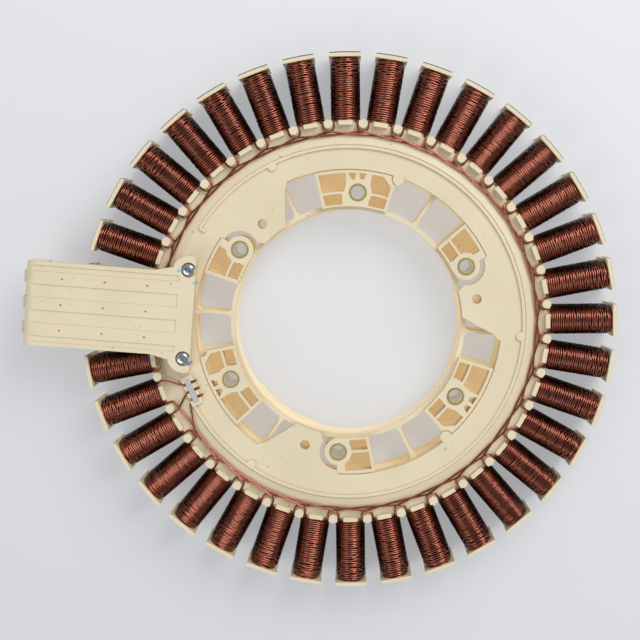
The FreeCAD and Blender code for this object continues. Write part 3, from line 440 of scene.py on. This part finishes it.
class Chances:
    """Random numbers for one coil, from its seed and a salt for each use."""

    def __init__(self, nodes, size, turn, step_over):
        self.nodes = nodes
        self.seed = size["Seed"]
        self.turn = turn
        self.step_over = step_over

    def draw(self, low, high, salt, number):
        nodes = self.nodes
        node = nodes.add("FunctionNodeRandomValue", {"data_type": "FLOAT"})
        nodes.feed(node.inputs[2], low)
        nodes.feed(node.inputs[3], high)
        nodes.feed(node.inputs["ID"], number)
        nodes.feed(node.inputs["Seed"], nodes.plus(self.seed, salt))
        return node.outputs[1]

    def each_turn(self, most, salt):
        """A number of its own for each turn, changing where the wire steps over to the next one."""
        this = self.draw(-most, most, salt, self.turn)
        following = self.draw(-most, most, salt, self.nodes.plus(self.turn, 1))
        return self.nodes.blend(this, following, self.step_over)

    def whole_coil(self, low, high, salt):
        return self.draw(low, high, salt, 0)


def wire_place(nodes, size, index):
    """Where the wire's point with that number lies: across, up and along the tooth."""
    wound = nodes.work("DIVIDE", index, size["Points"])
    turn = nodes.work("FLOOR", wound)
    share = nodes.work("SUBTRACT", wound, turn)
    step_over = nodes.ramp(share, STEP_START, STEP_END)
    layer_turn = nodes.plus(turn, step_over)
    chances = Chances(nodes, size, turn, step_over)

    turns = size["Turns"]
    inner_end = nodes.ramp(layer_turn, LOOSE_TURNS, 0.5)
    outer_end = nodes.ramp(layer_turn, nodes.work("SUBTRACT", turns, LOOSE_TURNS), turns)
    ends = nodes.plus(inner_end, outer_end)
    over = nodes.ramp(layer_turn, turns, nodes.plus(turns, CLIMB_TURNS))
    swell = nodes.times(chances.each_turn(TURN_SWELL, 11), nodes.blend(1.0, LOOSE_SWELL, ends))
    skew = nodes.times(chances.each_turn(TURN_SKEW, 23), nodes.blend(1.0, LOOSE_SKEW, ends))
    drop = nodes.ramp(layer_turn, nodes.work("SUBTRACT", turns, NARROWING_TURNS), turns)
    swell = nodes.plus(swell, nodes.times(inner_end, FIRST_SQUEEZE), nodes.times(over, CLIMB))
    skew = nodes.plus(skew, nodes.times(over, chances.each_turn(EXTRA_SKEW, 41)),
                      nodes.times(inner_end, chances.whole_coil(-FIRST_SKEW, FIRST_SKEW, 43)))

    half_width = nodes.plus(size["Half width"], swell, nodes.times(drop, drop, NARROWING))
    half_height = nodes.plus(size["Half height"], swell)
    angle = nodes.times(share, math.tau)
    across, up = rounded_loop(nodes, size, angle, half_width, half_height)
    side = nodes.work("DIVIDE", across, half_width)

    def groove(low, high, salt):
        """Room left between two turns, on one side more than on the other."""
        opening = nodes.times(turns, chances.whole_coil(low, high, salt))
        lean = nodes.blend(0.5, 1.0, nodes.times(side, chances.whole_coil(-1.0, 1.0, salt + 1)))
        opened = nodes.ramp(layer_turn, opening, nodes.plus(opening, 1))
        return nodes.times(opened, lean, size["Groove"])

    grooves = nodes.plus(groove(0.12, 0.5, 53), groove(0.5, 0.93, 59))
    room = nodes.work("SUBTRACT", size["Length"], nodes.times(size["Groove"], 1.1))
    pitch = nodes.work("DIVIDE", room, turns)
    laid = nodes.work("MINIMUM", layer_turn, turns)
    back = nodes.times(nodes.work("SUBTRACT", layer_turn, laid), chances.whole_coil(-1.9, -1.2, 67))
    along = nodes.plus(nodes.times(pitch, nodes.plus(laid, back)), grooves, nodes.times(skew, side),
                       chances.each_turn(TURN_WANDER, 71))
    return nodes.add("ShaderNodeCombineXYZ", X=across, Y=up, Z=along).outputs[0]


def wound_wire(nodes, size, index, enamel):
    """The coil's wire, from the tab to the flange."""
    count = nodes.plus(nodes.times(nodes.plus(size["Turns"], size["Extra turns"]), size["Points"]), 1)
    line = nodes.add("GeometryNodeCurvePrimitiveLine").outputs[0]
    wire = nodes.add("GeometryNodeResampleCurve", Curve=line, Count=count).outputs[0]
    place = wire_place(nodes, size, index)
    wire = nodes.add("GeometryNodeSetPosition", Geometry=wire, Position=place).outputs[0]
    section = nodes.add("GeometryNodeCurvePrimitiveCircle", Resolution=WIRE_SIDES, Radius=size["Wire radius"])
    solid = nodes.add("GeometryNodeCurveToMesh", Curve=wire, Profile_Curve=section.outputs[0])
    solid.inputs["Fill Caps"].default_value = True
    smooth = nodes.add("GeometryNodeSetShadeSmooth", Geometry=solid.outputs[0]).outputs[0]
    return nodes.add("GeometryNodeSetMaterial", Geometry=smooth, Material=enamel).outputs[0]


def dark_layer(nodes, size, index, shaded_enamel):
    """The layer of wire under the last one, seen only through the gaps between the turns, in near-black
    painted shade.
    """
    angle = nodes.times(index, math.tau / LAYER_SEGMENTS)
    under = nodes.times(size["Wire radius"], LAYER_DEPTH)
    across, up = rounded_loop(nodes, size, angle, nodes.work("SUBTRACT", size["Half width"], under),
                              nodes.work("SUBTRACT", size["Half height"], under))
    middle = nodes.times(size["Length"], 0.5)
    place = nodes.add("ShaderNodeCombineXYZ", X=across, Y=up, Z=middle).outputs[0]
    loop = nodes.add("GeometryNodeCurvePrimitiveCircle", Resolution=LAYER_SEGMENTS, Radius=1.0).outputs[0]
    loop = nodes.add("GeometryNodeSetPosition", Geometry=loop, Position=place).outputs[0]
    loop = nodes.add("GeometryNodeSetCurveNormal", {"mode": "Z_UP"}, Curve=loop).outputs[0]
    strip = nodes.add("GeometryNodeCurvePrimitiveQuadrilateral", Width=LAYER_THICKNESS, Height=size["Length"])
    layer = nodes.add("GeometryNodeCurveToMesh", Curve=loop, Profile_Curve=strip.outputs[0]).outputs[0]
    return nodes.add("GeometryNodeSetMaterial", Geometry=layer, Material=shaded_enamel).outputs[0]


def winding_group(enamel, shaded_enamel):
    """One coil: a single wire wound side by side, loose and skewed in its last turns, over a layer in painted
    shade.
    """
    group, nodes, size = new_group("winding", WINDING)
    index = nodes.add("GeometryNodeInputIndex").outputs[0]
    both = nodes.add("GeometryNodeJoinGeometry")
    nodes.feed(both.inputs[0], wound_wire(nodes, size, index, enamel))
    nodes.feed(both.inputs[0], dark_layer(nodes, size, index, shaded_enamel))
    real = nodes.add("GeometryNodeRealizeInstances", Geometry=both.outputs[0]).outputs[0]
    nodes.add("NodeGroupOutput", Geometry=real)
    return group


COIL_START = 100.6 * MM


def tooth_frame(angle, radius, height):
    """Takes a coil wound about its own axis to the tooth at that angle: across, up and outwards."""
    turn = math.radians(angle)
    out = Vector((math.cos(turn), math.sin(turn), 0))
    across = Vector((-math.sin(turn), math.cos(turn), 0))
    up = Vector((0, 0, 1))
    matrix = Matrix((across, up, out)).transposed().to_4x4()
    matrix.translation = out * radius + up * height
    return matrix


def wind_coils(enamel, inked_enamel, shaded_enamel):
    group = winding_group(enamel, shaded_enamel)
    for number in range(1, TEETH + 1):
        node = f"coil_{number:02d}"
        low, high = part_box(node)
        angle = FIRST_TOOTH + (number - 1) * TOOTH_PITCH
        name = f"winding_{number:02d}"
        mesh = grown_mesh(name, group, {"Seed": 100 * number, "Extra turns": number % 4})
        mesh.transform(tooth_frame(angle, COIL_START, 0.5 * (low[2] + high[2])))
        if number == INKED_COIL:
            mesh.materials[mesh.materials.find(enamel.name)] = inked_enamel
        new_piece(name, mesh, [node])


# ---------------------------------------------------------------- connector arm

MERGE_DISTANCE = 0.001 * MM


def reshaped(name, node, material, move):
    """A new piece with a CAD piece's mesh, merged and flat-shaded, each of its points moved by a rule."""
    shape = bmesh.new()
    shape.from_mesh(NODES[node].data)
    bmesh.ops.remove_doubles(shape, verts=shape.verts, dist=MERGE_DISTANCE)
    for vertex in shape.verts:
        vertex.co = move(vertex.co)
    for face in shape.faces:
        face.smooth = False
        face.material_index = 0
    mesh = as_mesh(name, shape)
    mesh.materials.append(material)
    return new_piece(name, mesh, [node])


# The arm as drawn out: how far it is moved sideways, and each reach in millimetres with its new reach
ARM_SHIFT = -0.9 * MM
ARM_STRETCH = ((84.4, 84.4), (96.4, 99.6), (138.4, 141.6), (155, 160), (162, 162))


def along_arm(reach):
    """How far out a point of the arm lies once the arm is drawn to its full length."""
    for (low, new_low), (high, new_high) in zip(ARM_STRETCH, ARM_STRETCH[1:]):
        if low * MM < reach <= high * MM:
            share = (reach / MM - low) / (high - low)
            return (new_low + share * (new_high - new_low)) * MM
    return reach


def on_arm(point):
    return Vector((-along_arm(-point.x), point.y + ARM_SHIFT, point.z))


def lathe(profile, segments):
    """A mesh turned about Z from its profile of radius and height, closed on the axis."""
    shape = bmesh.new()
    rings = []
    for radius, height in profile:
        if radius == 0:
            rings.append([shape.verts.new((0, 0, height))] * segments)
        else:
            turns = [math.tau * i / segments for i in range(segments)]
            round_points = [(radius * math.cos(turn), radius * math.sin(turn), height) for turn in turns]
            rings.append([shape.verts.new(point) for point in round_points])
    for lower, upper in zip(rings, rings[1:]):
        for i in range(segments):
            j = (i + 1) % segments
            corners = dict.fromkeys((lower[i], lower[j], upper[j], upper[i]))
            shape.faces.new(list(corners))
    bmesh.ops.recalc_face_normals(shape, faces=shape.faces)
    return shape


def cut_away(mesh, cutter_mesh):
    """The mesh less the cutter."""
    scene = bpy.context.scene.collection.objects
    holder = bpy.data.objects.new("holder", mesh)
    cutter = bpy.data.objects.new("cutter", cutter_mesh)
    scene.link(holder)
    scene.link(cutter)
    modifier = holder.modifiers.new("cut", "BOOLEAN")
    modifier.object = cutter
    modifier.solver = "EXACT"
    depsgraph = bpy.context.evaluated_depsgraph_get()
    result = bpy.data.meshes.new_from_object(holder.evaluated_get(depsgraph))
    holder.modifiers.remove(modifier)
    bpy.data.objects.remove(holder)
    bpy.data.objects.remove(cutter)
    return result


def cross_recess(depth, half_width, reach):
    """A tapering cross, as the driver's tip leaves it, with its open end at height 0."""
    shape = bmesh.new()
    top = [(reach, -half_width), (reach, half_width), (half_width, half_width)]
    corners = []
    for turn in range(4):
        c, s = round(math.cos(turn * math.pi / 2)), round(math.sin(turn * math.pi / 2))
        corners += [(x * c - y * s, x * s + y * c) for x, y in top]
    layers = [[shape.verts.new((x * k, y * k, z)) for x, y in corners]
              for k, z in ((1.15, depth * 0.5), (1.0, 0), (0.45, -depth))]
    for upper, lower in zip(layers, layers[1:]):
        for i in range(len(corners)):
            j = (i + 1) % len(corners)
            shape.faces.new((upper[i], lower[i], lower[j], upper[j]))
    shape.faces.new(layers[0])
    shape.faces.new(layers[-1])
    bmesh.ops.recalc_face_normals(shape, faces=shape.faces)
    return as_mesh("recess", shape)


def as_mesh(name, shape):
    mesh = bpy.data.meshes.new(name)
    shape.to_mesh(mesh)
    shape.free()
    return mesh


# A screw's outline: radius and height above its seat in millimetres, from its point to the top of its head
SCREW_OUTLINE = ((0, -12), (1.1, -12), (1.5, -11), (1.5, 0), (3.1, 0), (3.15, 0.6), (3.05, 1.3),
                 (2.75, 1.95), (2.2, 2.35), (1.4, 2.55), (0, 2.6))
SCREW_SEGMENTS = 40
SCREW_REACH = 80.2 * MM
SCREW_OFFSET = 21.9 * MM
SCREW_SEAT = 7.9 * MM
RECESS_TOP = 2.5 * MM
RECESS_DEPTH = 1.5 * MM
RECESS_HALF_WIDTH = 0.5 * MM
RECESS_REACH = 1.9 * MM


def make_screws(material):
    """Pan-head screws with a cross recess, one in each ear of the arm."""
    profile = [(radius * MM, height * MM) for radius, height in SCREW_OUTLINE]
    recess = cross_recess(RECESS_DEPTH, RECESS_HALF_WIDTH, RECESS_REACH)
    recess.transform(Matrix.Translation((0, 0, RECESS_TOP)))
    body = cut_away(as_mesh("screw", lathe(profile, SCREW_SEGMENTS)), recess)
    body.materials.append(material)
    for number, side, turn in ((1, -1, 0.4), (2, 1, 1.1)):
        mesh = body.copy()
        seat = Matrix.Translation((-SCREW_REACH, side * SCREW_OFFSET + ARM_SHIFT, SCREW_SEAT))
        mesh.transform(seat @ Matrix.Rotation(turn, 4, "Z"))
        new_piece(f"cross_screw_{number}", mesh, [f"arm_screw_{number}"])


# ---------------------------------------------------------------- setting

def repaint(material, *names):
    """Gives CAD pieces their finish."""
    for name in names:
        piece = NODES[name]
        if not piece.material_slots:
            piece.data.materials.append(material)
        for slot in piece.material_slots:
            slot.material = material


def plane(name, half, height, material):
    corners = [(x * half, y * half, height) for x, y in ((-1, -1), (1, -1), (1, 1), (-1, 1))]
    mesh = bpy.data.meshes.new(name)
    mesh.from_pydata(corners, [], [(0, 1, 2, 3)])
    mesh.materials.append(material)
    floor = bpy.data.objects.new(name, mesh)
    bpy.context.scene.collection.objects.link(floor)
    return floor


def aim(thing, place, target, up):
    """Puts a camera or lamp at a place, looking at a target."""
    back = (place - target).normalized()
    right = up.cross(back).normalized()
    matrix = Matrix((right, back.cross(right), back)).transposed().to_4x4()
    matrix.translation = place
    thing.matrix_world = matrix


CAMERA_LENS = 78.9
CAMERA_PLACE = VIEW_RIGHT * 0.001 + VIEW_UP * 0.061 + Vector((0, 0, 0.695))
CAMERA_TARGET = VIEW_RIGHT * -0.0139 + VIEW_UP * 0.0016


def set_camera():
    data = bpy.data.cameras.new("camera")
    data.lens = CAMERA_LENS
    camera = bpy.data.objects.new("camera", data)
    bpy.context.scene.collection.objects.link(camera)
    aim(camera, CAMERA_PLACE, CAMERA_TARGET, VIEW_UP)
    bpy.context.scene.camera = camera


# Softboxes: name, place to the right, up and above in metres, side in metres, power in watts
SOFTBOXES = (("key_softbox", 0.7, 0.9, 1.15, 1.1, 17), ("fill_softbox", -0.75, -0.75, 1.25, 1.0, 6))
ROOM_LIGHT = 0.5
MIRRORED_ROOM_LIGHT = 0.17


def add_softbox(name, right, up, height, side, power):
    data = bpy.data.lights.new(name, "AREA")
    data.shape = "RECTANGLE"
    data.size = data.size_y = side
    data.energy = power
    lamp = bpy.data.objects.new(name, data)
    bpy.context.scene.collection.objects.link(lamp)
    place = VIEW_RIGHT * right + VIEW_UP * up + Vector((0, 0, height))
    aim(lamp, place, Vector((0, 0, 0)), Vector((0, 0, 1)))


def set_light():
    for softbox in SOFTBOXES:
        add_softbox(*softbox)
    world = bpy.data.worlds.new("studio")
    world.use_nodes = True
    nodes = Nodes(world.node_tree)
    back = world.node_tree.nodes["Background"]
    back.inputs["Color"].default_value = (0.93, 0.95, 1, 1)
    mirrored = nodes.add("ShaderNodeLightPath").outputs["Is Glossy Ray"]
    nodes.feed(back.inputs["Strength"], nodes.blend(ROOM_LIGHT, MIRRORED_ROOM_LIGHT, mirrored))
    bpy.context.scene.world = world


# ---------------------------------------------------------------- the whole

plastic = moulded_plastic()
enamel = wire_enamel("wire_enamel", ENAMEL_TINT)
inked_enamel = wire_enamel("wire_enamel_inked", ENAMEL_TINT, COIL_INK)
shaded_enamel = wire_enamel("wire_enamel_inner_shaded", SHADED_TINT)
steel = lamination_steel()
yellow_zinc = plated_metal("yellow_zinc", (0.80, 0.70, 0.32), (0.62, 0.52, 0.20), 0.3, 300, BORE_PAINTED_GLOW)
bright_zinc = plated_metal("bright_zinc", (0.86, 0.93, 1.0), (0.55, 0.64, 0.72), 0.12, 400)
tin = plated_metal("tin", (0.95, 0.95, 0.94), (0.80, 0.80, 0.78), 0.32, 350)

repaint(plastic, "upper_insulator", "lower_insulator")
repaint(steel, "lamination_core")
repaint(yellow_zinc, *[name for name in NODES if name.startswith("mounting_sleeve")])
repaint(tin, "neutral_crimp")
repaint(enamel, *[name for name in NODES if name.startswith("phase_wires")])

wind_coils(enamel, inked_enamel, shaded_enamel)
reshaped("arm_cover", "connector_arm", plastic, on_arm)
for number in (1, 2, 3):
    reshaped(f"terminal_blade_{number}", f"phase_terminal_{number}", tin, on_arm)
make_screws(bright_zinc)

floor = plane("floor", FLOOR_HALF_SIZE, cad_box[0][2], studio_floor())
set_camera()
set_light()
bpy.context.scene.view_settings.view_transform = "Standard"
